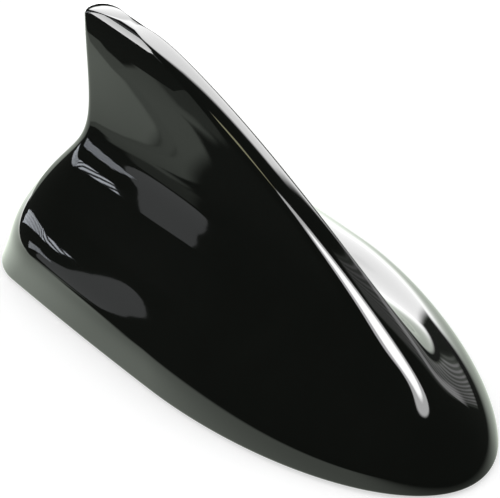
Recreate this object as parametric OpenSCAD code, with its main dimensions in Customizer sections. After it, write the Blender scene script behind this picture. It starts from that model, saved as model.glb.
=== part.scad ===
// Shark fin roof aerial: a moulded fin cover screwed to a base plate that carries
// the aerial board. It is stuck to the roof by a ring of foam tape.
// The nose points to +X, +Z is up, and z = 0 is the roof surface.

/* [Fin cover] */
// Length of the cover at its rim
cover_length = 165; // [150:1:180]
// Width of the cover at its rim
cover_width = 72; // [66:1:78]
// Height of the cover from its rim to its crown
cover_height = 70; // [64:1:76]
// Wall thickness of the moulding
wall = 2.4; // [2:0.1:2.8]
// Radius of the lower outer edge of the rim
rim_radius = 0.8; // [0.4:0.1:1]
// Distance from the rear end to the crown
crown_back = 31; // [28:1:36]
// Length of the steep start of the ridge above the nose
nose_rise = 25; // [22:1:32]
// Length of the level end of the ridge at the crown
crown_run = 32; // [26:1:36]
// Lean of the nose over the first part of the ridge
nose_lean = 0; // [0:0.1:2]
// Distance that the trailing edge stands in from the rear end
trailing_inset = 11.5; // [9:0.5:14]
// Height at which the rear end has gone half way in to the trailing edge
shoulder_height = 25; // [22:0.5:28]
// Sharpness of the rear shoulder
shoulder_power = 6.5; // [5:0.1:8]
// Height at which the flanks have gone half way in to the blade
flank_height = 21.8; // [20:0.2:24]
// Sharpness of the flanks' shoulder
flank_power = 6.4; // [5:0.1:8]
// Thickness of the upright blade
blade_thickness = 7.8; // [7.4:0.1:9]
// Draft of the lower wall, sideways for each millimetre up
wall_draft = 0.01; // [0:0.005:0.04]
// Corner radius of the rim's rear corners
rear_corner = 17.5; // [13:0.5:20]
// Growth of the rear corner radius for each millimetre up
corner_growth = 0.95; // [0.5:0.01:1.1]
// Radius of the nose at the rim
nose_radius = 15; // [12:0.5:18]
// Radius of the blade's level sections at the ridge
ridge_radius = 8.6; // [7:0.1:10]
// Height at which the nose has gone half way from the first radius to the second
ridge_height = 17; // [13:0.5:21]
// Rounding of the crown's rear corner
crown_radius = 4; // [3:0.5:7]

/* [Base plate] */
// Thickness of the base plate's floor
floor_thickness = 3; // [2.6:0.1:3.6]
// Clearance between the base plate and the cover
base_gap = 0.3; // [0.2:0.05:0.5]
// Height of the locating rim above the floor
locating_rim = 4; // [2:0.5:6]
// Length of the pocket for the old aerial's foot
pocket_length = 40; // [34:1:44]
// Width of the pocket
pocket_width = 26; // [22:1:28]
// Depth of the pocket from the floor's underside
pocket_depth = 15; // [13:0.5:16]
// Distance of the pocket's centre behind the middle of the cover
pocket_back = 32; // [30:1:36]
// Wall thickness of the pocket and of the plate's ribs
rib = 2; // [1.6:0.1:2.4]

/* [Tape and seals] */
// Thickness of the foam tape
tape_thickness = 1.1; // [0.9:0.1:1.6]
// Height of the cover's rim above the roof
rim_lift = 0.8; // [0.5:0.1:1]
// Distance of the tape's edge from the base plate's edge
tape_margin = 1; // [0.5:0.1:2]
// Width of the seal round the pocket's mouth
seal_width = 5; // [4:0.5:6]
// Bore of the lead's grommet
lead_bore = 4; // [3:0.2:5]

/* [Screws] */
// Shank diameter of the cover screws
cover_screw_d = 2.6; // [2.2:0.1:3]
// Length of the cover screws under the head
cover_screw_l = 9; // [7:0.5:9.5]
// Outer diameter of the cover's screw bosses
boss_d = 7; // [6:0.2:8]
// Shank diameter of the board screws
board_screw_d = 2; // [1.8:0.1:2.2]
// Outer diameter of the board posts
post_d = 6; // [5:0.2:6.6]

/* [Aerial board] */
// Length of the circuit board
board_length = 56; // [50:1:58]
// Width of the circuit board
board_width = 34; // [30:1:36]
// Thickness of the circuit board
board_thickness = 1.6; // [1:0.1:2]
// Height of the board's underside above the floor
board_lift = 5; // [4:0.5:6]
// Distance of the board's rear edge behind the middle of the cover
board_back = 6; // [4:0.5:6]
// Wire diameter of the aerial coil
wire_d = 0.8; // [0.5:0.1:1]
// Mean diameter of the aerial coil
coil_d = 6.8; // [6:0.2:7]
// Number of turns of the aerial coil
coil_turns = 8; // [5:1:9]
// Height of the coil and its post above the board
coil_height = 18; // [15:0.5:19]
// Thickness of the radiator's sheet
sheet = 0.5; // [0.4:0.1:0.8]
// Clearance between the radiator and the cover
sheet_gap = 2; // [1.5:0.1:3]

/* [Hidden] */

$fn = 32;
fit = 0.1;
sliver = 0.01;
half_length = cover_length / 2;

// Shares of the chord and the width that shape the level sections
rear_share = 0.94;
base_belly = 0.5;
blade_belly = 0.2;
flank_belly = 0.12;
blade_taper = 0.1;
flank_taper = 0.24;
ridge_power = 2.6;
half_blade = blade_thickness / 2;
crown_x = crown_back - half_length;

// Levels of the base plate and of what it carries
floor_top = tape_thickness + floor_thickness;
pocket_x = -pocket_back;
pocket_top = tape_thickness + pocket_depth;
roof_top = pocket_top + rib;
board_z = floor_top + board_lift;
board_top = board_z + board_thickness;
board_rear = -board_back;
board_front = board_rear + board_length;
plate_z = board_top + coil_height;

// Places of the five cover screws, the nose first
screw_margin = 16;
side_screw_x = 22;
screw_side = cover_width / 2 - wall - boss_d / 2 - 3.5;
rear_screw_x = screw_margin - half_length;
rear_screw_y = cover_width / 2 - screw_margin;
cover_screw_places = [[half_length - screw_margin, 0],
                      [side_screw_x, screw_side], [side_screw_x, -screw_side],
                      [rear_screw_x, rear_screw_y], [rear_screw_x, -rear_screw_y]];

// Places of the four board screws
board_margin = 3.5;
board_screw_places = [for (x = [board_rear + board_margin, board_front - board_margin])
                      for (side = [-1, 1]) [x, side * (board_width / 2 - board_margin)]];

// Places of the parts on the board and on the pocket's roof
coil_x = board_rear + 9;
can_size = [17, 15, 4.6];
can_x = board_rear + 33;
drum_x = board_rear + 18;
connector_x = board_rear + 48;
grommet_x = pocket_x + pocket_length / 2 - 8;
holder_x = pocket_x - pocket_length / 2 + 12;

// A point at share t of a cubic Bezier curve with the four points p
function bezier(p, t) =
    pow(1 - t, 3) * p[0] + 3 * t * pow(1 - t, 2) * p[1]
    + 3 * t * t * (1 - t) * p[2] + pow(t, 3) * p[3];

// The ridge in side view, from the nose up to the crown, as [height, x] pairs
ridge_curve = [[0, half_length], [nose_rise, half_length - nose_lean],
               [cover_height, crown_x + crown_run], [cover_height, crown_x]];
ridge = [for (i = [0:80]) bezier(ridge_curve, i / 80)];

// Falls smoothly from 1 to 0, and is one half at the height half
function fade(h, half, power) = 1 / (1 + pow(max(h, 0) / half, power));
function flank_fade(h) = fade(h, flank_height, flank_power);

// Rises to 1 in the middle of the flanks' shoulder and is 0 well below and above it
function flank_bump(h) = 4 * flank_fade(h) * (1 - flank_fade(h));
function mix(a, b, share) = a * share + b * (1 - share);

// How far a rounded top edge of radius r has drawn in at height h
function round_in(h, r) =
    let (u = min(max((h - cover_height + r) / r, 0), 1)) 1 - sqrt(1 - u * u);

// Ends, half width and roundings of the level section at height h above the rim
function front_x(h) = lookup(h, ridge);
function rear_line(h) = -half_length + wall_draft * h
    + (trailing_inset - wall_draft * h) * (1 - fade(h, shoulder_height, shoulder_power));
function rear_x(h) = rear_line(h) + (crown_x - rear_line(h)) * round_in(h, crown_radius);
function half_w(h) = mix(cover_width / 2 - wall_draft * h, half_blade, flank_fade(h))
    * (1 - round_in(h, half_blade));
function corner_r(h) = rear_corner + corner_growth * h;
function nose_r(h) = mix(nose_radius, ridge_radius, fade(h, ridge_height, ridge_power));
function belly(h) = mix(base_belly, blade_belly, flank_fade(h)) + flank_belly * flank_bump(h);
function taper(h) = blade_taper * (1 - flank_fade(h)) + flank_taper * flank_bump(h);

// Half width at share t of a chord c with the full half width w at share m: it narrows
// to the rear, and tapers by k and then rounds with the radius r towards the front
function side_y(t, c, w, m, k, r) =
    let (u = max((t - m) / (1 - m), 0),
         back = max((m - t) / m, 0),
         power = max(2 * (1 - m) * c * r / (w * w), 1.6))
    w * (1 - (1 - rear_share) * back * back - k * u * u) * sqrt(max(1 - pow(u, power), 0));

// The smaller of two lengths, with a smooth change from one to the other
function soft_min(a, b) = pow(pow(a, -6) + pow(b, -6), -1 / 6);

// The level section at height h above the rim, drawn in by inset, as [x, y] points
// from the rear centre round the left side to the nose and back
function section(h, inset, corner_steps = 5, side_steps = 20) =
    let (x0 = rear_x(h) + inset,
         c = max(front_x(h) - inset - x0, 0.2),
         w = max(half_w(h) - inset, 0.05),
         m = belly(h),
         k = taper(h),
         nose = max(nose_r(h) - inset, 0.3),
         r = soft_min(soft_min(max(corner_r(h) - inset, 0.3), 0.96 * rear_share * w), 0.45 * c),
         corner = [for (i = [0:corner_steps]) let (a = 90 * i / corner_steps, x = r * (1 - cos(a)))
                   [x0 + x, side_y(x / c, c, w, m, k, nose) - r * (1 - sin(a))]],
         side = [for (i = [1:side_steps]) let (t = 1 - (1 - r / c) * pow(1 - i / side_steps, 2))
                 [x0 + t * c, i == side_steps ? 0 : side_y(t, c, w, m, k, nose)]],
         left = concat([[x0, 0]], corner, side),
         n = len(left))
    concat(left, [for (i = [n - 2:-1:1]) [left[i][0], -left[i][1]]]);

// The hollow's outline at the height z above the roof, drawn in further by gap
function hollow_outline(z, gap) = section(z - rim_lift + wall, wall + gap, 4, 14);

// Solid through rings of points that run clockwise as seen from the last ring
module loft(rings) {
    n = len(rings[0]);
    m = len(rings);
    points = [for (ring = rings) each ring];
    low = [for (j = [1:n - 2]) [0, j + 1, j]];
    high = [for (j = [1:n - 2]) [(m - 1) * n, (m - 1) * n + j, (m - 1) * n + j + 1]];
    skin = [for (i = [0:m - 2]) for (j = [0:n - 1])
            let (k = (j + 1) % n, a = i * n, b = a + n)
            each [[a + j, b + k, b + j], [a + j, a + k, b + k]]];
    polyhedron(points = points, faces = concat(low, high, skin), convexity = 8);
}

// Heights of the sections: the rounded rim edge, the flanks, then the rounded crown
edge_levels = [for (a = [0:30:90]) rim_radius * (1 - cos(a))];
flank_levels = [for (i = [1:24]) rim_radius + (cover_height - half_blade - rim_radius) * i / 24];
crown_levels = [for (a = [15:15:75]) cover_height - half_blade * (1 - sin(a))];
crown_end = cover_height - 0.03;

// How far the rounded rim edge has drawn in at height h
function edge_in(h) = h >= rim_radius ? 0
    : rim_radius - sqrt(pow(rim_radius, 2) - pow(rim_radius - h, 2));

function lift_ring(outline, z) = [for (p = outline) [p[0], p[1], z]];

module outer_form() {
    levels = concat(edge_levels, flank_levels, crown_levels, [crown_end]);
    loft([for (h = levels) lift_ring(section(h, edge_in(h)), rim_lift + h)]);
}

// The hollow: the outer form lowered and drawn in by the wall, down to below the rim
module hollow() {
    top = cover_height - 1.6 * wall - half_blade;
    levels = [for (i = [0:20]) top * i / 20];
    rings = [for (h = levels) lift_ring(hollow_outline(rim_lift + h, 0), rim_lift + h)];
    loft(concat([lift_ring(rings[0], -1)], rings));
}

// The bosses and ribs are left standing where the hollow is not cut
module fin_cover() {
    color([0.03, 0.032, 0.03])
        difference() {
            outer_form();
            difference() {
                hollow();
                boss_columns(boss_d, cover_height);
                cross_ribs();
            }
            boss_columns(cover_screw_d + fit, cover_screw_l - floor_thickness + 3);
        }
}

// Upright columns over the cover screws, from the base plate's floor
module boss_columns(d, h) {
    for (p = cover_screw_places)
        translate([p[0], p[1], floor_top])
            cylinder(d = d, h = h);
}

// Cross ribs in the nose, and across the flanks below the radiator at the rear
module cross_ribs() {
    rib_z = floor_top + locating_rim + 4;
    translate([board_front + 4, -cover_width / 2, rib_z])
        cube([0.7 * rib, cover_width, cover_height]);
    translate([rear_screw_x + boss_d, -cover_width / 2, rib_z])
        cube([0.7 * rib, cover_width, plate_z - 1 - rib_z]);
}

// Outline of a rectangle with round corners, centred on the origin
function rounded_rect(l, w, r) =
    [for (k = [0:3]) for (a = [0:15:90])
        let (sx = (k == 0 || k == 3) ? 1 : -1, sy = k < 2 ? 1 : -1)
        [sx * (l / 2 - r), sy * (w / 2 - r)] + r * [cos(90 * k + a), sin(90 * k + a)]];

module pocket_block(extra, z0, z1) {
    translate([pocket_x, 0, z0])
        linear_extrude(z1 - z0)
            polygon(rounded_rect(pocket_length + 2 * extra, pocket_width + 2 * extra, 5 + extra));
}

module base_plate() {
    rim_top = floor_top + locating_rim;
    color([0.07, 0.07, 0.07])
        difference() {
            union() {
                translate([0, 0, tape_thickness])
                    linear_extrude(floor_thickness)
                        polygon(hollow_outline(floor_top, base_gap));
                translate([0, 0, tape_thickness])
                    linear_extrude(floor_thickness + locating_rim)
                        difference() {
                            polygon(hollow_outline(rim_top, base_gap));
                            polygon(hollow_outline(rim_top, base_gap + 0.8 * rib));
                        }
                pocket_block(rib, tape_thickness, roof_top);
                for (p = board_screw_places)
                    translate([p[0], p[1], tape_thickness])
                        cylinder(d = post_d, h = board_z - tape_thickness);
                floor_ribs();
            }
            pocket_block(0, -1, pocket_top);
            translate([grommet_x, 0, pocket_top - 1])
                cylinder(r = grommet_neck + fit / 2, h = rib + 2);
            for (p = cover_screw_places)
                translate([p[0], p[1], 0]) {
                    cylinder(d = cover_screw_d + 0.6, h = cover_height / 3);
                    cylinder(d = boss_d - 0.2, h = tape_thickness + screw_head(cover_screw_d) + fit);
                    translate([0, 0, floor_top])
                        cylinder(d = boss_d + 1, h = locating_rim + 1);
                }
            for (p = board_screw_places)
                translate([p[0], p[1], tape_thickness + 1])
                    cylinder(d = board_screw_d + fit, h = cover_height / 3);
        }
}

// Low stiffening ribs on the floor, between the posts and out to the pocket
module floor_ribs() {
    rib_h = floor_top + board_lift / 2;
    for (side = [-1, 1])
        translate([pocket_x + pocket_length / 2, side * (board_width / 2 - board_margin) - rib / 2, tape_thickness])
            cube([board_front - board_margin - pocket_x - pocket_length / 2, rib, rib_h - tape_thickness]);
    for (x = [board_rear + board_margin, board_front - board_margin])
        translate([x - rib / 2, -board_width / 2 + board_margin, tape_thickness])
            cube([rib, board_width - 2 * board_margin, rib_h - tape_thickness]);
}

module foam_tape() {
    color([0.16, 0.16, 0.16])
        difference() {
            linear_extrude(tape_thickness)
                polygon(hollow_outline(floor_top, base_gap + tape_margin));
            pocket_block(seal_width + 0.5, -1, tape_thickness + 1);
        }
}

module pocket_seal() {
    color([0.1, 0.1, 0.1])
        difference() {
            pocket_block(seal_width, 0, tape_thickness);
            pocket_block(0, -1, tape_thickness + 1);
        }
}

// Rubber grommet in the pocket's roof, where the lead comes out
grommet_neck = lead_bore / 2 + 1.9;
grommet_flange = lead_bore / 2 + 3.4;
grommet_lip = 1;
module lead_grommet() {
    r0 = lead_bore / 2;
    color([0.12, 0.12, 0.12])
        translate([grommet_x, 0, 0])
            rotate_extrude($fn = 48)
                polygon([[r0, pocket_top - grommet_lip], [grommet_flange, pocket_top - grommet_lip],
                         [grommet_flange, pocket_top], [grommet_neck, pocket_top],
                         [grommet_neck, roof_top], [grommet_flange, roof_top],
                         [grommet_flange, roof_top + grommet_lip], [r0, roof_top + grommet_lip]]);
}

function screw_head(d) = 0.6 * d;

// Screw with its head's underside at z = 0, its shank going down and a cross recess on top
module screw(d, l) {
    head = screw_head(d);
    slot = 0.28 * d;
    difference() {
        union() {
            cylinder(d1 = 2 * d, d2 = 1.5 * d, h = head);
            translate([0, 0, -l])
                cylinder(d = d, h = l + sliver);
        }
        for (a = [0, 90])
            rotate(a)
                translate([-d / 2, -slot / 2, head / 2])
                    cube([d, slot, head]);
    }
}

module cover_screws() {
    color([0.62, 0.62, 0.6])
        for (p = cover_screw_places)
            translate([p[0], p[1], tape_thickness + screw_head(cover_screw_d) + fit])
                mirror([0, 0, 1])
                    screw(cover_screw_d, cover_screw_l);
}

module board_screws() {
    color([0.62, 0.62, 0.6])
        for (p = board_screw_places)
            translate([p[0], p[1], board_top])
                screw(board_screw_d, board_thickness + board_lift);
}

module circuit_board() {
    color([0.05, 0.3, 0.14])
        difference() {
            translate([board_rear + board_length / 2, 0, board_z])
                linear_extrude(board_thickness)
                    polygon(rounded_rect(board_length, board_width, 2));
            for (p = board_screw_places)
                translate([p[0], p[1], board_z - 1])
                    cylinder(d = board_screw_d + 0.4, h = board_thickness + 2);
        }
}

// Folded tinplate can, open below, over the amplifier stage
can_sheet = 0.3;
module shield_can() {
    color([0.75, 0.76, 0.76])
        difference() {
            translate([can_x, 0, board_top + can_size[2] / 2])
                cube(can_size, center = true);
            translate([can_x, 0, board_top + can_size[2] / 2 - can_sheet])
                cube(can_size - [2 * can_sheet, 2 * can_sheet, 0], center = true);
            for (i = [-1:1])
                for (j = [-1:1])
                    translate([can_x + 4 * i, 4 * j, board_top])
                        cylinder(d = 1.2, h = can_size[2] + 1, $fn = 16);
        }
}

// Amplifier chip with two rows of legs
chip_size = [6, 5, 1.5];
module amplifier_chip() {
    color([0.05, 0.05, 0.05])
        translate([can_x, 0, board_top]) {
            translate([-chip_size[0] / 2, -chip_size[1] / 2, 0.15])
                cube(chip_size);
            for (i = [0:3])
                for (side = [-1, 1])
                    translate([(i - 1.5) * 1.27 - 0.2, side * (chip_size[1] / 2 + 0.35) - 0.6, 0])
                        cube([0.4, 1.2, 0.5]);
        }
}

// Small ceramic capacitors in rows beside the can
capacitor = [2, 1.3, 0.9];
module chip_capacitors() {
    color([0.55, 0.42, 0.28])
        chip_row(capacitor, 5, can_size[1] / 2 + 1.6 * capacitor[1]);
}

// Small resistors in rows outside the capacitors
resistor = [1.6, 0.9, 0.5];
module chip_resistors() {
    color([0.08, 0.08, 0.09])
        chip_row(resistor, 4, can_size[1] / 2 + 3.4 * capacitor[1]);
}

// Chips of one size in a row along each side of the can, their middles at the distance y
module chip_row(size, count, y) {
    pitch = can_size[0] / count;
    for (i = [0:count - 1])
        for (side = [-1, 1])
            translate([can_x + pitch * (i + 0.5) - can_size[0] / 2 - size[0] / 2,
                       side * y - size[1] / 2, board_top])
                cube(size);
}

// Wound drum coils that match the aerial to the amplifier
drum_d = 6;
drum_h = 4.5;
drum_places = [[drum_x, 8], [drum_x, -8]];
module matching_coils() {
    color([0.45, 0.22, 0.1])
        for (p = drum_places)
            translate([p[0], p[1], board_top])
                rotate_extrude()
                    polygon([[0, 0], [drum_d / 2, 0], [drum_d / 2, 0.8], [0.84 * drum_d / 2, 1],
                             [0.84 * drum_d / 2, drum_h - 1], [drum_d / 2, drum_h - 0.8],
                             [drum_d / 2, drum_h], [0, drum_h]]);
}

// Board socket for the lead: a square foot, a round shell and its centre pin
socket_size = 6.5;
module lead_connector() {
    color([0.8, 0.68, 0.35])
        translate([connector_x, 0, board_top]) {
            translate([-socket_size / 2, -socket_size / 2, 0])
                cube([socket_size, socket_size, 1.5]);
            difference() {
                cylinder(d = 5, h = 6);
                translate([0, 0, 2])
                    cylinder(d = 4, h = 5);
            }
            cylinder(d = 0.9, h = 5.2, $fn = 16);
        }
}

// Post that carries the coil and holds the front of the radiator in its slot
slot_depth = 2;
module coil_post() {
    core = coil_d - wire_d - 2 * fit;
    color([0.85, 0.84, 0.78])
        difference() {
            translate([coil_x, 0, board_top])
                cylinder(d = core, h = coil_height + slot_depth);
            translate([coil_x - core, -(sheet + fit) / 2, plate_z])
                cube([2 * core, sheet + fit, slot_depth + 1]);
        }
}

// The coil's centre line: a tail up from the board, the turns, then a tail to the radiator
coil_tail = 1.5;
turn_steps = 14;
coil_path = concat(
    [[coil_d / 2, 0, 0]],
    [for (i = [0:coil_turns * turn_steps])
        let (a = 360 * i / turn_steps, share = i / (coil_turns * turn_steps))
        [coil_d / 2 * cos(a), coil_d / 2 * sin(a), coil_tail + share * (coil_height - 2 * coil_tail)]],
    [[coil_d / 2, 0, coil_height]]);

// Ring of points round a path's point, across the direction to its neighbours
function ring_round(path, i, r, n) =
    let (d = path[min(i + 1, len(path) - 1)] - path[max(i - 1, 0)],
         t = d / norm(d),
         out = [path[i][0], path[i][1], 0] / norm([path[i][0], path[i][1], 0]),
         u = (out - (out * t) * t) / norm(out - (out * t) * t),
         v = cross(t, u))
    [for (k = [0:n - 1]) path[i] + r * (cos(360 * k / n) * u - sin(360 * k / n) * v)];

module aerial_coil() {
    color([0.72, 0.4, 0.2])
        translate([coil_x, 0, board_top])
            loft([for (i = [0:len(coil_path) - 1]) ring_round(coil_path, i, wire_d / 2, 8)]);
}

// Upright sheet in the hollow blade, cut to the cover's side view, with a row of round holes
hole_d = 10 * sheet;
hole_pitch = 24 * sheet;
module radiator_plate() {
    gap = wall + sheet_gap;
    low = plate_z - rim_lift;
    high = cover_height - half_blade - 2 * gap;
    levels = [for (i = [0:12]) low + (high - low) * i / 12];
    front = [for (h = levels) [front_x(h + gap) - gap, rim_lift + h]];
    rear = [for (i = [12:-1:0]) [rear_x(levels[i] + gap) + gap, rim_lift + levels[i]]];
    color([0.8, 0.8, 0.78])
        translate([0, sheet / 2, 0])
            rotate([90, 0, 0])
                linear_extrude(sheet)
                    difference() {
                        polygon(concat(front, rear));
                        for (i = [0:2])
                            translate([crown_x + hole_d + hole_pitch * (i + 0.6), plate_z + 2 * hole_d - hole_d * i / 3])
                                circle(d = hole_d);
                    }
}

// Plastic stand on the pocket's roof that holds the rear of the radiator
holder_foot = [6 * rib, 4 * rib, 0.75 * rib];
holder_stem = [3 * rib, 1.6 * rib];
module plate_holder() {
    color([0.09, 0.09, 0.09])
        difference() {
            union() {
                translate([holder_x - holder_foot[0] / 2, -holder_foot[1] / 2, roof_top])
                    cube(holder_foot);
                translate([holder_x - holder_stem[0] / 2, -holder_stem[1] / 2, roof_top])
                    cube([holder_stem[0], holder_stem[1], plate_z - roof_top + slot_depth]);
            }
            translate([holder_x - holder_foot[0], -(sheet + fit) / 2, plate_z])
                cube([2 * holder_foot[0], sheet + fit, slot_depth + 1]);
        }
}

fin_cover();
base_plate();
foam_tape();
pocket_seal();
lead_grommet();
cover_screws();
circuit_board();
board_screws();
shield_can();
amplifier_chip();
chip_capacitors();
chip_resistors();
matching_coils();
lead_connector();
coil_post();
aerial_coil();
radiator_plate();
plate_holder();
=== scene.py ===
"""Shark fin roof aerial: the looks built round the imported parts.

The nose points to +X and +Z is up. z = 0 is the roof surface, and the part's middle is at x = y = 0.
"""
import math

import bpy
import numpy as np
from mathutils import Matrix, Vector


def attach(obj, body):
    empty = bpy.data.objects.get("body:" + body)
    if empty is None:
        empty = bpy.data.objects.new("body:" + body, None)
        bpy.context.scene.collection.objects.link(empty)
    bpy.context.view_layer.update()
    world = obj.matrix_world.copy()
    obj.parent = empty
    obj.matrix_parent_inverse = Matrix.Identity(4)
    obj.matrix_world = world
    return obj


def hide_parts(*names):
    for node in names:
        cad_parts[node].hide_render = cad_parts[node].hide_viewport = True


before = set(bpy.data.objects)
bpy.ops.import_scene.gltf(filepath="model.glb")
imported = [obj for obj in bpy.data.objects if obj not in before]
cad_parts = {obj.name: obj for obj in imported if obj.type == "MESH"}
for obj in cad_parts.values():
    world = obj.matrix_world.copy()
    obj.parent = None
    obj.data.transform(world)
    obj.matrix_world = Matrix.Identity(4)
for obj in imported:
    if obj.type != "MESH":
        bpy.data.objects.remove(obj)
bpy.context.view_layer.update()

MM = 0.001


# The photograph's view

def photo_camera():
    """A long lens on the front right, looking down at the part's middle."""
    azimuth, elevation, roll = (math.radians(a) for a in (55.338, 33.546, -3.261))
    distance = 1.1452
    middle = Vector((0, 0, 0.0258))
    back = Vector((math.sin(azimuth) * math.cos(elevation), -math.cos(azimuth) * math.cos(elevation),
                   math.sin(elevation)))
    level = Vector((math.cos(azimuth), math.sin(azimuth), 0))
    steep = back.cross(level)
    across = math.cos(roll) * level + math.sin(roll) * steep
    up = math.cos(roll) * steep - math.sin(roll) * level
    data = bpy.data.cameras.new("photo_camera")
    data.sensor_width = 36
    data.lens = 329.0
    data.shift_x = -0.0248
    data.shift_y = 0.0168
    data.clip_start = 0.05
    camera = bpy.data.objects.new("photo_camera", data)
    turn = Matrix((across, up, back)).transposed().to_4x4()
    camera.matrix_world = Matrix.Translation(middle + back * distance) @ turn
    bpy.context.collection.objects.link(camera)
    bpy.context.scene.camera = camera


photo_camera()


# Meshes

def add_mesh(name, points, faces, sharp_angle=35):
    """A mesh object from points in millimetres and faces, smooth except at its sharp edges."""
    mesh = bpy.data.meshes.new(name)
    mesh.from_pydata((np.asarray(points) * MM).tolist(), [], faces)
    mesh.polygons.foreach_set("use_smooth", np.ones(len(mesh.polygons), bool))
    mesh.set_sharp_from_angle(angle=math.radians(sharp_angle))
    mesh.update()
    piece = bpy.data.objects.new(name, mesh)
    bpy.context.collection.objects.link(piece)
    return piece


def ring_faces(rows, columns):
    """Quads of a grid of points whose rows are closed rings, each row joined to the next."""
    i, j = np.meshgrid(np.arange(rows - 1), np.arange(columns), indexing="ij")
    k = (j + 1) % columns
    quads = np.stack([i * columns + j, i * columns + k, (i + 1) * columns + k, (i + 1) * columns + j], -1)
    return quads.reshape(-1, 4).tolist()


def zip_faces(start, columns, flip):
    """Quads that close a ring which is the same on its left and right: each left pair of points
    is joined to the right pair across from it. The ring starts and turns on the middle plane."""
    half = columns // 2
    j = np.arange(1, half - 1)
    quads = np.stack([j, j + 1, columns - j - 1, columns - j], -1)
    ends = [[0, 1, columns - 1], [half - 1, half, half + 1]]
    faces = quads.tolist() + ends
    if flip:
        faces = [face[::-1] for face in faces]
    return [[start + k for k in face] for face in faces]


# The cover's form, in millimetres, with heights measured from its rim

COVER_LENGTH = 165.0
COVER_WIDTH = 72.0
COVER_HEIGHT = 70.0
WALL = 2.4
WALL_DRAFT = 0.01
RIM_LIFT = 0.8
RIM_RADIUS = 0.8
HALF_LENGTH = COVER_LENGTH / 2
HALF_BLADE = 3.9

# The ridge and the trailing end
CROWN_X = 31 - HALF_LENGTH
CROWN_RADIUS = 4.0
RIDGE_PULL = 25.0
CROWN_PULL = 32.0
TRAILING_INSET = 11.5
TRAILING_HEIGHT = 25.0
TRAILING_POWER = 6.5

# How the wide body turns into the upright blade
FLANK_HEIGHT = 21.8
FLANK_POWER = 6.4
CREST_POWER = 3.2
BLADE_SLIMMING = 0.24
SLIM_FROM = 55.0

# Where a level section is widest, how it tapers forwards and how round its nose is
BODY_BELLY = 0.5
BLADE_BELLY = 0.2
MIDWAY_BELLY = 0.12
BLADE_TAPER = 0.1
MIDWAY_TAPER = 0.24
BODY_NOSE = 15.0
BLADE_NOSE = 8.6
NOSE_HEIGHT = 17.0
NOSE_POWER = 2.6
LEAST_SIDE_POWER = 1.6

# The rear corners, whose radius grows with the height
REAR_SHARE = 0.94
CORNER_RADIUS = 17.5
CORNER_GROWTH = 0.95
CORNER_OF_WIDTH = 0.96
CORNER_OF_CHORD = 0.45

# The least a section may shrink to
LEAST_CHORD = 0.2
LEAST_WIDTH = 0.05
LEAST_RADIUS = 0.3

# Points round half a section, and levels down the cover
REAR_STEPS = 8
CORNER_STEPS = 22
SIDE_STEPS = 108
RING = 2 * (REAR_STEPS + CORNER_STEPS + SIDE_STEPS)
CROWN_LEVELS = 18
FLANK_LEVELS = 132
EDGE_LEVELS = 10
HOLLOW_LEVELS = 40

# The bosses and the cross ribs
COVER_SCREWS = [(66.5, 0), (22, 26.6), (22, -26.6), (-66.5, 20), (-66.5, -20)]
BOSS_FOOT = 4.1
BORE_DEPTH = 9.0
BORE_CHAMFER = 0.25
BOSS_CHAMFER = 0.2
ROOF_SINK = 0.9
WALL_SINK = 0.5
RIB_FOOT = 12.1
FRONT_RIB_X = 54.0
REAR_RIB_X = -59.5
REAR_RIB_TOP = 27.7


def ridge_line(steps=4001):
    """Heights and places of the ridge from the nose's rim to the crown: one cubic curve that starts
    upright and ends level, as the usual sum of four points."""
    t = np.linspace(0, 1, steps)[:, None]
    start, rise, fall, crown = np.array([[0, HALF_LENGTH], [RIDGE_PULL, HALF_LENGTH],
                                         [COVER_HEIGHT, CROWN_X + CROWN_PULL], [COVER_HEIGHT, CROWN_X]])
    return (1 - t) ** 3 * start + 3 * t * (1 - t) ** 2 * rise + 3 * t ** 2 * (1 - t) * fall + t ** 3 * crown


RIDGE = ridge_line()


def fade(height, half, power):
    """Falls smoothly from 1 to 0, and is one half at the height half."""
    return 1 / (1 + (np.maximum(height, 0) / half) ** power)


def mix(a, b, share):
    """a where the share is 1 and b where it is 0."""
    return a * share + b * (1 - share)


def soft_min(a, b):
    """The smaller of two lengths, with a soft change between them: the sum of their minus sixth
    powers, to the power of minus a sixth."""
    return (a ** -6.0 + b ** -6.0) ** (-1 / 6)


def round_in(height, radius, power=2.0):
    """How far a rounded top edge has drawn in at a height, as a share of its radius: a quarter of a
    circle, or of a squarer superellipse at higher powers."""
    u = np.clip((height - COVER_HEIGHT + radius) / radius, 0, 1)
    return 1 - (1 - u ** power) ** (1 / power)


def section_ends(height):
    """Rear and front end of the level section at a height: the rear end draws in above the trailing
    height and rounds over at the crown, and the front end follows the ridge."""
    draft = WALL_DRAFT * height
    drawn_in = 1 - fade(height, TRAILING_HEIGHT, TRAILING_POWER)
    rear = -HALF_LENGTH + draft + (TRAILING_INSET - draft) * drawn_in
    rear = rear + (CROWN_X - rear) * round_in(height, CROWN_RADIUS)
    return rear, np.interp(height, RIDGE[:, 0], RIDGE[:, 1])


def side_y(t, chord, width, belly, taper, nose):
    """Half width at share t of the chord: widest at the share belly, a little narrower at the rear,
    tapered forwards and closed there by a superellipse whose end has the radius nose."""
    u = np.maximum((t - belly) / (1 - belly), 0)
    back = np.maximum((belly - t) / belly, 0)
    power = np.maximum(2 * (1 - belly) * chord * nose / width ** 2, LEAST_SIDE_POWER)
    closing = np.sqrt(np.maximum(1 - u ** power, 0))
    return width * (1 - (1 - REAR_SHARE) * back ** 2 - taper * u ** 2) * closing


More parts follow.
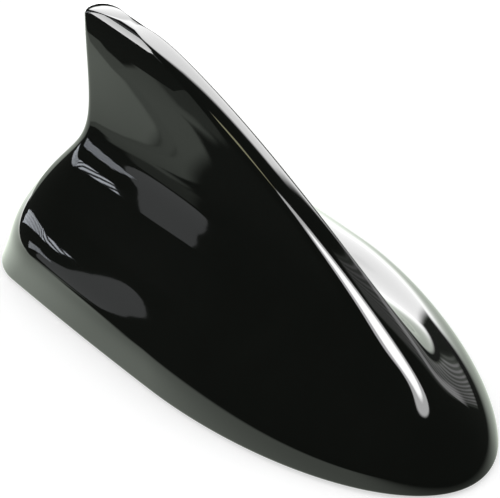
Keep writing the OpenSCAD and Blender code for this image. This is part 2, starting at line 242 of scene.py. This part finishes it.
def cover_sections(heights, insets):
    """Level sections at the given heights above the rim, drawn in by the insets, as an array of
    rings: from the rear centre along the rear end, round the left corner and along the left side
    to the nose, then back along the right side, its mirror image."""
    h = np.asarray(heights, float)[:, None]
    inset = np.asarray(insets, float)[:, None]
    rear, front = section_ends(h)
    rear = rear + inset
    chord = np.maximum(front - inset - rear, LEAST_CHORD)
    flank = fade(h, FLANK_HEIGHT, FLANK_POWER)
    midway = 4 * flank * (1 - flank)
    width = mix(COVER_WIDTH / 2 - WALL_DRAFT * h, HALF_BLADE, flank)
    width = width * (1 - round_in(h, HALF_BLADE, CREST_POWER))
    width = width * (1 - BLADE_SLIMMING * np.clip((h - SLIM_FROM) / (COVER_HEIGHT - SLIM_FROM), 0, 1) ** 2)
    width = np.maximum(width - inset, LEAST_WIDTH)
    belly = mix(BODY_BELLY, BLADE_BELLY, flank) + MIDWAY_BELLY * midway
    taper = BLADE_TAPER * (1 - flank) + MIDWAY_TAPER * midway
    nose = np.maximum(mix(BODY_NOSE, BLADE_NOSE, fade(h, NOSE_HEIGHT, NOSE_POWER)) - inset, LEAST_RADIUS)
    corner = np.maximum(CORNER_RADIUS + CORNER_GROWTH * h - inset, LEAST_RADIUS)
    corner = soft_min(soft_min(corner, CORNER_OF_WIDTH * REAR_SHARE * width), CORNER_OF_CHORD * chord)
    a = np.linspace(0, math.pi / 2, CORNER_STEPS + 1)[None, :]
    corner_x = corner * (1 - np.cos(a))
    corner_y = side_y(corner_x / chord, chord, width, belly, taper, nose) - corner * (1 - np.sin(a))
    t = 1 - (1 - corner / chord) * (1 - np.arange(1, SIDE_STEPS + 1)[None, :] / SIDE_STEPS) ** 2
    along_y = side_y(t, chord, width, belly, taper, nose)
    along_y[:, -1] = 0
    across = np.arange(REAR_STEPS)[None, :] / REAR_STEPS * corner_y[:, :1]
    x = rear + np.concatenate([np.zeros_like(across), corner_x, t * chord], 1)
    y = np.concatenate([across, corner_y, along_y], 1)
    x = np.concatenate([x, x[:, -2:0:-1]], 1)
    y = np.concatenate([y, -y[:, -2:0:-1]], 1)
    z = np.broadcast_to(RIM_LIFT + h, x.shape)
    return np.stack([x, y, z], -1)


def cover_shell():
    """The cover's skin from its crown down to the rounded rim edge, across the rim and up the hollow:
    one grid of level sections, closed at the crown and at the hollow's top. The crown's and the rim
    edge's levels are even steps of angle round a quarter circle."""
    crown = COVER_HEIGHT - HALF_BLADE * (1 - np.sin(np.radians(np.linspace(82.8, 4, CROWN_LEVELS))))
    flank = np.linspace(COVER_HEIGHT - HALF_BLADE, RIM_RADIUS, FLANK_LEVELS)
    edge = RIM_RADIUS * (1 - np.sin(np.radians(np.linspace(9, 90, EDGE_LEVELS))))
    edge_in = RIM_RADIUS - np.sqrt(RIM_RADIUS ** 2 - (RIM_RADIUS - edge) ** 2)
    outer = cover_sections(np.concatenate([crown, flank, edge]),
                           np.concatenate([np.zeros(CROWN_LEVELS + FLANK_LEVELS), edge_in]))
    levels = np.linspace(0, COVER_HEIGHT - 1.6 * WALL - HALF_BLADE, HOLLOW_LEVELS)
    hollow = cover_sections(levels + WALL, np.full(HOLLOW_LEVELS, WALL))
    hollow[:, :, 2] -= WALL
    rings = np.concatenate([outer, hollow])
    rows = len(rings)
    faces = ring_faces(rows, RING) + zip_faces(0, RING, True) + zip_faces((rows - 1) * RING, RING, False)
    return add_mesh("cover_shell", rings.reshape(-1, 3), faces)


def hollow_roof(x, y, low=BOSS_FOOT, high=66.0, steps=240):
    """Height at which the cover's hollow closes over points of the plan: the number of level steps
    at which a point is inside the hollow's section, times the step."""
    levels = np.linspace(low, high, steps) - RIM_LIFT + WALL
    rings = cover_sections(levels, np.full(steps, WALL))
    left = rings[:, REAR_STEPS:RING // 2 + 1]
    reach = np.stack([np.interp(x, side[:, 0], side[:, 1], left=0, right=0) for side in left])
    inside = np.abs(y)[None, :] < reach
    return low + inside.sum(0) * (high - low) / steps


def cover_boss(x, y, bottom=BOSS_FOOT, outer=3.5, bore=1.38, steps=48):
    """A screw boss under the cover's roof: circles of eight radii, each at its own height, from the
    bore's closed end down to its mouth and up the outside to a top that follows the roof and sinks
    into it."""
    a = np.linspace(0, 2 * math.pi, steps, endpoint=False)
    c = np.cos(a)
    s = np.sin(a)
    roof = hollow_roof(x + outer * c, y + outer * s) + ROOF_SINK
    end = bottom + BORE_DEPTH
    radii = [bore * 0.02, bore, bore, bore + BORE_CHAMFER, outer - BOSS_CHAMFER, outer, outer, 0.02]
    heights = [end, end, bottom + BORE_CHAMFER, bottom, bottom, bottom + BOSS_CHAMFER, roof, roof.mean()]
    rings = [np.stack([x + r * c, y + r * s, np.broadcast_to(z, steps)], 1) for r, z in zip(radii, heights)]
    rows = len(rings)
    closing = [list(range(steps))[::-1], [(rows - 1) * steps + k for k in range(steps)]]
    return np.concatenate(rings), ring_faces(rows, steps) + closing


def section_reach(x, z):
    """Half width of the hollow at a place along the cover and a height."""
    side = cover_sections([z - RIM_LIFT + WALL], [WALL])[0, REAR_STEPS:RING // 2 + 1]
    return float(np.interp(x, side[:, 0], side[:, 1], left=0, right=0))


def cross_rib(x, bottom, top, half=0.7, levels=40):
    """A flat rib across the hollow: four-cornered level sections as wide as the hollow's walls are
    apart, and a little more, so that its ends sink into them."""
    heights = np.linspace(bottom, top, levels)
    width = np.array([section_reach(x, z) for z in heights]) + WALL_SINK
    corners = [(x + half, width), (x - half, width), (x - half, -width), (x + half, -width)]
    rings = np.stack([np.stack([np.full(levels, px), py, heights], 1) for px, py in corners], 1)
    closing = [[3, 2, 1, 0], [(levels - 1) * 4 + k for k in range(4)]]
    return rings.reshape(-1, 3), ring_faces(levels, 4) + closing


def cover_inside():
    """The bosses and cross ribs under the cover's roof, as one mesh of closed parts."""
    front_top = float(hollow_roof(np.array([FRONT_RIB_X]), np.array([0.0]))[0]) + ROOF_SINK
    parts = [cover_boss(x, y) for x, y in COVER_SCREWS]
    parts += [cross_rib(FRONT_RIB_X, RIB_FOOT, front_top), cross_rib(REAR_RIB_X, RIB_FOOT, REAR_RIB_TOP)]
    points = []
    faces = []
    for part_points, part_faces in parts:
        first = sum(len(p) for p in points)
        points.append(part_points)
        faces += [[first + k for k in face] for face in part_faces]
    return add_mesh("cover_inside", np.concatenate(points), faces)


cover = cover_shell()
inside = cover_inside()
for piece in (cover, inside):
    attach(piece, "root")
    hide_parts("fin_cover")


# Materials: sockets that do arithmetic, and one method that adds a node

class Value:
    """A socket in a node tree. Arithmetic on it adds Math nodes."""

    def __init__(self, tree, socket):
        self.tree = tree
        self.socket = socket

    def math(self, operation, *values):
        return self.tree.add("ShaderNodeMath", {"operation": operation}, dict(enumerate(values)))[0]

    def __add__(self, other):
        return self.math("ADD", self, other)

    __radd__ = __add__

    def __sub__(self, other):
        return self.math("SUBTRACT", self, other)

    def __rsub__(self, other):
        return self.math("SUBTRACT", other, self)

    def __mul__(self, other):
        return self.math("MULTIPLY", self, other)

    __rmul__ = __mul__

    def __gt__(self, other):
        return self.math("GREATER_THAN", self, other)

    def __lt__(self, other):
        return self.math("LESS_THAN", self, other)

    def __abs__(self):
        return self.math("ABSOLUTE", self)

    def most(self, other):
        return self.math("MAXIMUM", self, other)

    def least(self, other):
        return self.math("MINIMUM", self, other)

    def rise(self, low, high):
        """0 below low and 1 above high, with a smooth change between them."""
        return self.tree.add("ShaderNodeMapRange", {"interpolation_type": "SMOOTHSTEP"},
                             {"Value": self, "From Min": low, "From Max": high})["Result"]

    def between(self, low, high, soft):
        """1 from low to high and 0 outside, with edges of the width soft."""
        return self.rise(low - soft, low + soft) * (1 - self.rise(high - soft, high + soft))

    def from_middle(self, middle, pitch):
        """Signed distance to the nearest of evenly spaced middles."""
        return self.math("WRAP", self - middle, pitch / 2, -pitch / 2)


class Node:
    """A node's outputs, by name or number."""

    def __init__(self, tree, node):
        self.tree = tree
        self.node = node

    def __getitem__(self, key):
        return Value(self.tree, self.node.outputs[key])


class Tree:
    """The nodes of a material or of the world."""

    def __init__(self, owner):
        owner.use_nodes = True
        self.nodes = owner.node_tree.nodes
        self.links = owner.node_tree.links
        self.nodes.clear()

    def add(self, kind, settings=None, inputs=None):
        """Adds a node of a kind, makes its settings, then gives its inputs their values or links."""
        node = self.nodes.new(kind)
        for key, value in (settings or {}).items():
            setattr(node, key, value)
        for key, value in (inputs or {}).items():
            if isinstance(value, Value):
                self.links.new(value.socket, node.inputs[key])
            else:
                node.inputs[key].default_value = value
        return Node(self, node)

    def colour(self, share, low, high):
        """The colour low where share is 0 and high where it is 1. A Mix node takes its colours at
        inputs 6 and 7 and gives the mixed one at output 2."""
        rgba = [c if isinstance(c, Value) else (*c, 1) for c in (low, high)]
        return self.add("ShaderNodeMix", {"data_type": "RGBA"}, {0: share, 6: rgba[0], 7: rgba[1]})[2]

    def scaled(self, what, level):
        """A colour or a place times a number."""
        return self.add("ShaderNodeVectorMath", {"operation": "SCALE"}, {0: what, "Scale": level})[0]

    def place(self):
        """The point on the part, in millimetres."""
        return self.scaled(self.add("ShaderNodeTexCoord")["Object"], 1 / MM)

    def axes(self, where):
        """The x, y and z of a place."""
        parts = self.add("ShaderNodeSeparateXYZ", None, {0: where})
        return parts[0], parts[1], parts[2]

    def stretch(self, where, x, y, z):
        """A place with its axes multiplied, to draw out a pattern."""
        return self.add("ShaderNodeVectorMath", {"operation": "MULTIPLY"}, {0: where, 1: (x, y, z)})[0]

    def noise(self, where, size, detail=3.0, rough=0.5):
        """Soft noise from 0 to 1 whose lumps are about size millimetres across."""
        return self.add("ShaderNodeTexNoise", None,
                        {"Vector": where, "Scale": 1 / size, "Detail": detail, "Roughness": rough})[0]

    def cells(self, where, size):
        """Distance from the nearest middle, in cells of about size millimetres across."""
        return self.add("ShaderNodeTexVoronoi", None, {"Vector": where, "Scale": 1 / size})[0]

    def bump(self, height, depth, over=None):
        """A normal from a height that runs from 0 to 1 over depth millimetres."""
        inputs = {"Height": height, "Distance": depth * MM, "Strength": 1.0}
        if over is not None:
            inputs["Normal"] = over
        return self.add("ShaderNodeBump", None, inputs)["Normal"]

    def glow(self, tint, level):
        """Light of a tint times a level."""
        return self.add("ShaderNodeEmission", None, {"Color": self.scaled(tint, level)})[0]

    def clear_from_below(self, shader):
        """The shader on a sheet's upper side, and nothing on its lower side."""
        clear = self.add("ShaderNodeBsdfTransparent")[0]
        lower = self.add("ShaderNodeNewGeometry")["Backfacing"]
        return self.add("ShaderNodeMixShader", None, {0: lower, 1: shader, 2: clear})[0]

    def show(self, shader):
        """Makes the shader the material's surface."""
        self.add("ShaderNodeOutputMaterial", None, {"Surface": shader})


def finish_tree(name, **constants):
    """A material with one Principled shader, whose unchanging numbers are set here."""
    material = bpy.data.materials.new(name)
    tree = Tree(material)
    shader = tree.add("ShaderNodeBsdfPrincipled", None, constants)
    tree.show(shader[0])
    tree.shader = shader.node
    return material, tree


def feed(tree, **values):
    """Links the changing values to the shader. A name's underscores stand for spaces."""
    for key, value in values.items():
        tree.links.new(value.socket, tree.shader.inputs[key.replace("_", " ")])


def gloss_cover():
    """Black moulding off a polished tool: near-black, mirror smooth, with a trace of waviness."""
    material, tree = finish_tree("gloss_cover", IOR=1.5)
    where = tree.place()
    cloud = tree.noise(where, 14, 2)
    fine = tree.noise(where, 0.7, 4)
    feed(tree, Base_Color=tree.colour(cloud, (0.0022, 0.0026, 0.0021), (0.0036, 0.0041, 0.0034)),
         Roughness=0.022 + 0.03 * fine * cloud,
         Normal=tree.bump(tree.noise(where, 2.6, 1), 0.0012, over=tree.bump(tree.noise(where, 9, 1), 0.004)))
    return material


def satin_base():
    """Black moulding with a fine spark-eroded grain, greyer where it has been handled."""
    material, tree = finish_tree("satin_base")
    where = tree.place()
    grain = tree.noise(where, 0.22, 5, 0.65)
    worn = tree.noise(where, 9, 3)
    feed(tree, Base_Color=tree.colour(worn * grain, (0.018, 0.018, 0.019), (0.05, 0.05, 0.051)),
         Roughness=0.5 + 0.25 * grain, Normal=tree.bump(grain, 0.05))
    return material


def cell_foam(name, pore, dark, light):
    """Closed-cell foam: open pores at its cut face, darker in their middles as painted shade, and a soft
    mottle.
    """
    material, tree = finish_tree(name)
    where = tree.place()
    cell = tree.cells(where, pore)
    mottle = tree.noise(where, 4, 3)
    # Painted shade: each pore's colour darkens towards its middle, where the pore is deepest; the mottle
    # varies this at random.
    feed(tree, Base_Color=tree.colour(cell * (0.5 + mottle), (dark,) * 3, (light,) * 3),
         Roughness=0.8 + 0.18 * cell,
         Normal=tree.bump(tree.noise(where, pore * 0.4), 0.04, over=tree.bump(cell, 0.12)))
    return material


def moulded_rubber():
    """Black rubber with a dull bloom."""
    material, tree = finish_tree("moulded_rubber")
    where = tree.place()
    bloom = tree.noise(where, 1.6, 5, 0.6)
    feed(tree, Base_Color=tree.colour(bloom, (0.016, 0.016, 0.017), (0.042, 0.042, 0.044)),
         Roughness=0.62 + 0.22 * bloom, Normal=tree.bump(tree.noise(where, 0.15), 0.015))
    return material


def zinc_steel():
    """Zinc plate on steel screws, duller in patches."""
    material, tree = finish_tree("zinc_steel")
    where = tree.place()
    patch = tree.noise(where, 0.9, 4)
    feed(tree, Base_Color=tree.colour(patch, (0.5, 0.5, 0.48), (0.72, 0.72, 0.71)),
         Roughness=0.22 + 0.22 * patch, Metallic=0.9 + 0.1 * patch,
         Normal=tree.bump(tree.noise(tree.stretch(where, 1, 1, 8), 0.4), 0.01))
    return material


def board_mask(half_track=0.35):
    """Green solder mask: copper tracks and filled ground show paler through it, and the sawn edges
    show the glass laminate. Tracks run along x or y, and a slow noise chooses which."""
    material, tree = finish_tree("board_mask", IOR=1.5)
    where = tree.place()
    x, y = tree.axes(where)[:2]
    along = abs(y.from_middle(0, 2.2)) < half_track
    across = abs(x.from_middle(1, 3.4)) < half_track
    choose = tree.noise(where, 9, 0) > 0.5
    track = (along * choose + across * (1 - choose)).least(1)
    ground = tree.noise(where, 16, 1).rise(0.55, 0.57)
    copper = track.most(ground)
    via = tree.cells(where, 3.1) < 0.09
    normal = tree.add("ShaderNodeNewGeometry")["Normal"]
    face = abs(tree.axes(normal)[2]) > 0.5
    weave = tree.noise(tree.stretch(where, 1, 1, 5), 0.3, 2)
    mask = tree.colour(copper, (0.006, 0.07, 0.025), (0.014, 0.15, 0.05))
    pads = tree.colour(via, mask, (0.7, 0.6, 0.36))
    edge = tree.colour(weave, (0.32, 0.3, 0.16), (0.5, 0.47, 0.27))
    feed(tree, Base_Color=tree.colour(face, edge, pads), Roughness=0.62 - face * (0.4 - 0.06 * weave),
         Metallic=via * face * 0.9, Normal=tree.bump(copper, 0.03))
    return material


def satin_tin():
    """Tinplate: rolled grain along the sheet and a faint crystal spangle."""
    material, tree = finish_tree("satin_tin")
    where = tree.place()
    grain = tree.noise(tree.stretch(where, 0.05, 1, 1), 0.12, 4)
    spangle = tree.cells(where, 3.5)
    feed(tree, Base_Color=tree.colour(spangle, (0.56, 0.57, 0.57), (0.78, 0.79, 0.79)),
         Roughness=0.2 + 0.2 * grain + 0.08 * spangle, Metallic=0.93 + 0.07 * grain,
         Normal=tree.bump(grain, 0.006))
    return material


def chip_black(half_body=2.52):
    """Moulded chip body, with tinned legs past its long sides."""
    material, tree = finish_tree("chip_black")
    where = tree.place()
    y = tree.axes(where)[1]
    leg = abs(y) > half_body
    grain = tree.noise(where, 0.12, 3)
    moulding = tree.colour(grain, (0.012, 0.012, 0.012), (0.03, 0.03, 0.03))
    feed(tree, Base_Color=tree.colour(leg, moulding, (0.7, 0.71, 0.71)), Metallic=leg * 0.95,
         Roughness=0.62 - 0.3 * leg + 0.12 * grain, Normal=tree.bump(grain, 0.015))
    return material


def end_capped(name, middle, pitch, body, dark, light):
    """Chips in a row along x: a body with a tinned cap on each end."""
    material, tree = finish_tree(name)
    where = tree.place()
    x = tree.axes(where)[0]
    cap = abs(x.from_middle(middle, pitch)) > body
    grain = tree.noise(where, 0.2, 3)
    feed(tree, Base_Color=tree.colour(cap, tree.colour(grain, dark, light), (0.72, 0.73, 0.72)),
         Metallic=cap * 0.95, Roughness=0.45 - 0.15 * cap + 0.15 * grain, Normal=tree.bump(grain, 0.012))
    return material


def wound_drum(foot=10.7, flange=1.0, winding=2.5, wire_pitch=0.28):
    """Drum coils: ferrite flanges, and between them turns of enamelled wire with painted shade: each turn
    darkens from its middle to the grooves beside it.
    """
    material, tree = finish_tree("wound_drum")
    where = tree.place()
    z = tree.axes(where)[2]
    wire = z.between(foot + flange, foot + flange + winding, 0.02)
    turn = abs(z.from_middle(foot, wire_pitch)) * (2 / wire_pitch)
    grain = tree.noise(where, 0.25, 4)
    # Painted shade: a turn's colour falls from bright copper at its middle to dark copper in the grooves on
    # either side.
    copper = tree.colour(turn, (0.62, 0.24, 0.09), (0.2, 0.06, 0.02))
    ferrite = tree.colour(grain, (0.03, 0.028, 0.027), (0.08, 0.075, 0.07))
    feed(tree, Base_Color=tree.colour(wire, ferrite, copper), Metallic=wire * 0.8,
         Roughness=0.6 - 0.28 * wire + 0.1 * grain, Normal=tree.bump(wire * (1 - turn), 0.12))
    return material


def bright_metal(name, dark, light, lump):
    """Bare metal with a little tarnish."""
    material, tree = finish_tree(name)
    where = tree.place()
    tarnish = tree.noise(where, lump, 4, 0.6)
    feed(tree, Base_Color=tree.colour(tarnish, dark, light), Metallic=0.92 + 0.08 * tarnish,
         Roughness=0.16 + 0.24 * tarnish, Normal=tree.bump(tree.noise(where, 0.2), 0.006))
    return material


def natural_nylon():
    """Undyed nylon, a little mottled and waxy."""
    material, tree = finish_tree("natural_nylon")
    where = tree.place()
    mottle = tree.noise(where, 2.5, 3)
    feed(tree, Base_Color=tree.colour(mottle, (0.62, 0.6, 0.5), (0.76, 0.75, 0.67)),
         Roughness=0.38 + 0.16 * mottle, Normal=tree.bump(tree.noise(where, 0.3), 0.01))
    return material


black_gloss = gloss_cover()
cover.data.materials.append(black_gloss)
inside.data.materials.append(black_gloss)
tin = satin_tin()
steel = zinc_steel()
base = satin_base()
finishes = {
    "base_plate": base,
    "plate_holder": base,
    "foam_tape": cell_foam("tape_foam", pore=0.45, dark=0.012, light=0.06),
    "pocket_seal": cell_foam("seal_foam", pore=0.25, dark=0.01, light=0.035),
    "lead_grommet": moulded_rubber(),
    "cover_screws": steel,
    "board_screws": steel,
    "circuit_board": board_mask(),
    "shield_can": tin,
    "radiator_plate": tin,
    "amplifier_chip": chip_black(),
    "chip_capacitors": end_capped("capacitor_ceramic", middle=20.2, pitch=3.4, body=0.62,
                                  dark=(0.38, 0.26, 0.15), light=(0.55, 0.4, 0.25)),
    "chip_resistors": end_capped("resistor_glaze", middle=20.625, pitch=4.25, body=0.5,
                                 dark=(0.012, 0.012, 0.016), light=(0.03, 0.03, 0.036)),
    "matching_coils": wound_drum(),
    "lead_connector": bright_metal("bright_brass", dark=(0.6, 0.42, 0.14), light=(0.86, 0.68, 0.32),
                                   lump=1.2),
    "coil_post": natural_nylon(),
    "aerial_coil": bright_metal("copper_wire", dark=(0.55, 0.22, 0.1), light=(0.83, 0.42, 0.22), lump=1.5),
}
for node, material in finishes.items():
    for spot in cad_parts[node].material_slots:
        spot.material = material


# The floor and the light

WHITE = (1, 1, 1)
ROOM_TINT = (0.91, 1.0, 0.88)
WINDOW_TINT = (0.88, 0.93, 1.0)
THREAD_TINT = (1.0, 0.97, 0.6)
PALE_TINT = (0.96, 0.99, 1)
ROOM_LEVEL = 0.055
TABLE_LEVEL = 0.05
SLAT_PITCH = 9.0

# The round lamp's direction in degrees, and its rim and core: strength, then where the edge starts and ends
LAMP_AZIMUTH = 98
LAMP_ELEVATION = 74
LAMP_RINGS = [(9, 16.5, 18), (16, 12, 14)]

# The room's glowing patches in degrees: strength, then from, to and soft edge in azimuth and in elevation
ROOM_PATCHES = {
    "lamp_end": (9, (10, 72, 4), (63.5, 82, 1)),
    "thread": (4.5, (-138, -66, 6), (79, 88, 1)),
    "window": (12, (-168, -100, 3), (29, 56.5, 2)),
    "low_window": (1.6, (-186, -140, 5), (12, 32, 3)),
    "sill": (7, (-128, -98, 3), (8, 29, 2)),
    "glare": (4.3, (-146, -130, 1), (-12, 5, 1.5)),
}


def staged_tree(piece, name):
    """A new material's nodes on a staged piece."""
    material = bpy.data.materials.new(name)
    piece.data.materials.append(material)
    return Tree(material)


def stage_for_gloss(piece):
    """Stages a piece that is seen in mirror reflections only."""
    piece.visible_camera = False
    piece.visible_diffuse = False
    piece.visible_transmission = False
    piece.visible_shadow = False


def on_plane(axis, level, outline):
    """Points of a flat outline, with the level put in as their x, y or z for the axis 0, 1 or 2."""
    return np.insert(np.array(outline, float), axis, level, axis=1)


def rounded(points, rounds=3):
    """An outline whose corners are cut off again and again, which rounds them: each side keeps its
    middle half."""
    for _ in range(rounds):
        following = np.roll(points, -1, 0)
        sides = [0.75 * points + 0.25 * following, 0.25 * points + 0.75 * following]
        points = np.stack(sides, 1).reshape(-1, 3)
    return points


def glow_card(name, points, strength, tint, slats=0.0):
    """A flat glowing outline, in millimetres, for the gloss to mirror. Slats are its dark gaps, as a
    share of their pitch in height."""
    card = add_mesh(name, points, [list(range(len(points)))])
    tree = staged_tree(card, name)
    z = tree.axes(tree.place())[2]
    lit = strength * (abs(z.from_middle(0, SLAT_PITCH)) > SLAT_PITCH / 2 * slats)
    tree.show(tree.glow(tint, lit))
    stage_for_gloss(card)


def add_floor(half=360, height=-0.05):
    """A white sheet under the part. It stays white to the camera except in the part's shadow. In the
    gloss it is a pale sheet on a dim table top: it closes at the nose and at a slanting near edge,
    past which a point lies by the amount past, and it is brighter towards the window behind, by the
    amount back. A strip between two slanting lines lies on the table beyond it."""
    outline = [[-half, -half], [half, -half], [half, half], [-half, half]]
    floor = add_mesh("floor", on_plane(2, height, outline), [[0, 1, 2, 3]])
    tree = staged_tree(floor, "white_sheet")
    x, y = tree.axes(tree.place())[:2]
    rays = tree.add("ShaderNodeLightPath")
    mirrored = rays["Is Glossy Ray"].most(rays["Is Transmission Ray"])
    seen = rays["Is Camera Ray"].most(mirrored)
    past = (0.5 * x - 42).least(-62) - y
    ends = (1 - x.rise(66, 98)) * (1 - (y + 1.2 * x).rise(110, 150)) * (1 - past.rise(-5, 6))
    back = (0.74 * y - 0.67 * x).rise(20, 260)
    sheet = ends * (1 + 3 * back + 0.75 * (1 - x.rise(-88, -30)))
    strip = (y - 1.13 * x).between(31, 68, 2) * x.rise(-264, -256) * 0.75 * (-1 * y).rise(75, 110)
    shown = sheet.most(strip) + TABLE_LEVEL
    level = shown * mirrored + 0.55 * (1 - mirrored)
    tint = tree.colour(back + (1 - mirrored), ROOM_TINT, WHITE)
    paper = tree.add("ShaderNodeBsdfDiffuse", None, {"Color": (0.56, 0.56, 0.56, 1)})[0]
    glow = tree.glow(tint, level * seen)
    both = tree.add("ShaderNodeAddShader", None, {0: paper, 1: glow})[0]
    above = tree.add("ShaderNodeMixShader", None, {0: mirrored, 1: both, 2: glow})[0]
    tree.show(tree.clear_from_below(above))


def blade_panel(height=18, sheet_x=25.6, sheet_y=17.8):
    """The stretch of table that only the upright blade mirrors, on a panel just over the wall's height.
    Rays that come from below pass through it. Two slanting strips lie in a lane of the table, bright
    nearer the part and dim further out. The end of the pale sheet, its grey hem and the wall's shape on
    the table top are bounded by straight lines, whose x and y are counted from the sheet's own point."""
    outline = [[-230, -130], [80, -130], [80, -30], [-78, -30], [-90, 30], [-230, 30]]
    panel = add_mesh("blade_panel", on_plane(2, height, outline), [[0, 1, 2, 3, 4, 5]])
    tree = staged_tree(panel, "blade_panel")
    x, y = tree.axes(tree.place())[:2]
    lane = y - 1.1 * x
    out = -1 * y
    near_strip = (y - 0.43 * x + 3 * x.rise(-90, -78)).rise(-16, -9)
    near_strip = near_strip * lane.between(27, 72, 3) * out.rise(40, 45)
    far_strip = lane.between(23, 60, 4) * out.rise(42, 50)
    strip = (near_strip * 0.42).most(far_strip * 0.17)
    u = x - sheet_x
    v = y - sheet_y
    past = 0.2 * u - 31.8 - v
    sheet = (1 - past.rise(-1.5, 0.5)) * (1 - u.rise(-108, -96)) * (0.8 - 0.12 * u.rise(-150, -110))
    hem = past.between(-1, 7, 0.6) * (1 - u.rise(-97, -90)) * 0.4
    top = (0.33 * u - 26.3 - v).rise(-0.6, 0.6)
    table = past.rise(0, 1) * (1 - top) * u.rise(-143, -137) * (1 - u.rise(-90, -80)) * 0.43
    shown = sheet.most(hem).most(table).most(strip) + TABLE_LEVEL
    tree.show(tree.clear_from_below(tree.glow(ROOM_TINT, shown)))
    stage_for_gloss(panel)


def studio_world():
    """White to the camera and as soft light. In the gloss it is a dark room, by azimuth and elevation
    in degrees: a round lamp over the nose with a longer end, a thin warm thread almost overhead, a
    window and its sill behind, glare low down, and blinds. A blind's lines lean: along one, the azimuth
    falls by half a degree for each degree of elevation."""
    world = bpy.data.worlds.new("studio")
    bpy.context.scene.world = world
    tree = Tree(world)
    direction = tree.add("ShaderNodeTexCoord")["Generated"]
    x, y, z = tree.axes(direction)
    degrees = 180 / math.pi
    azimuth = x.math("ARCTAN2", x, -1 * y) * degrees
    elevation = z.math("ARCSINE", z) * degrees
    a = math.radians(LAMP_AZIMUTH)
    e = math.radians(LAMP_ELEVATION)
    lamp = (math.sin(a) * math.cos(e), -math.cos(a) * math.cos(e), math.sin(e))
    aside = tree.add("ShaderNodeVectorMath", {"operation": "DOT_PRODUCT"}, {0: direction, 1: lamp})["Value"]
    aside = aside.math("ARCCOSINE", aside) * degrees
    rim, core = (strength * (1 - aside.rise(start, end)) for strength, start, end in LAMP_RINGS)
    patch = {name: strength * azimuth.between(*sideways) * elevation.between(*upwards)
             for name, (strength, sideways, upwards) in ROOM_PATCHES.items()}
    leaning = azimuth.from_middle(180, 360) + 0.5 * elevation
    slat = abs(leaning.from_middle(0, 1.6)).rise(0.2, 0.7)
    blind = (0.4 + 0.6 * slat) * leaning.between(8, 24.5, 2) * elevation.between(-2, 64, 2)
    overhead = (rim + core).most(patch["lamp_end"]).most(patch["thread"])
    room = (ROOM_LEVEL + overhead + patch["window"] + patch["low_window"] + patch["sill"] + patch["glare"]
            + blind)
    mirrored = tree.add("ShaderNodeLightPath")["Is Glossy Ray"]
    level = room * mirrored + (1 - mirrored)
    tint = tree.colour(room.rise(0.1, 1) + (1 - mirrored), ROOM_TINT, WHITE)
    tint = tree.colour(patch["thread"].rise(0, 2) * mirrored, tint, THREAD_TINT)
    sky = tree.add("ShaderNodeBackground", None, {"Color": tree.scaled(tint, level)})[0]
    tree.add("ShaderNodeOutputWorld", None, {"Surface": sky})


add_floor()
blade_panel()
studio_world()
wall_outline = [[-205, 15], [-188, 128], [-166, 165], [-130, 201], [-95, 226], [-75, 242], [-82, 254],
                [-114, 252], [-150, 238], [-186, 206], [-234, 148], [-256, 75], [-254, 15]]
glow_card("pale_wall", rounded(on_plane(0, -250, wall_outline)), strength=0.75, tint=PALE_TINT)
glow_card("blind_low", on_plane(0, -248, [[-128, 76], [-158, 40], [-198, 98], [-168, 122]]),
          strength=5.0, tint=WINDOW_TINT, slats=0.45)
high_outline = [[-34, 46], [-52, 30], [-104, 148], [-128, 176], [-110, 196], [-82, 170]]
glow_card("blind_high", on_plane(0, -248, high_outline), strength=6.5, tint=WINDOW_TINT, slats=0.45)

# A bright card beside the crest, and a shelf as dark as the room that keeps it off the body
glow_card("crest_glow", on_plane(1, -28, [[-108, 61], [-66, 61], [-62, 66], [-62, 92], [-108, 92]]),
          strength=10.0, tint=WHITE)
glow_card("crest_shade", on_plane(2, 60.8, [[-116, -30], [-32, -30], [-32, -5.5], [-116, -5.5]]),
          strength=ROOM_LEVEL, tint=ROOM_TINT)
bpy.context.scene.view_settings.view_transform = "Standard"
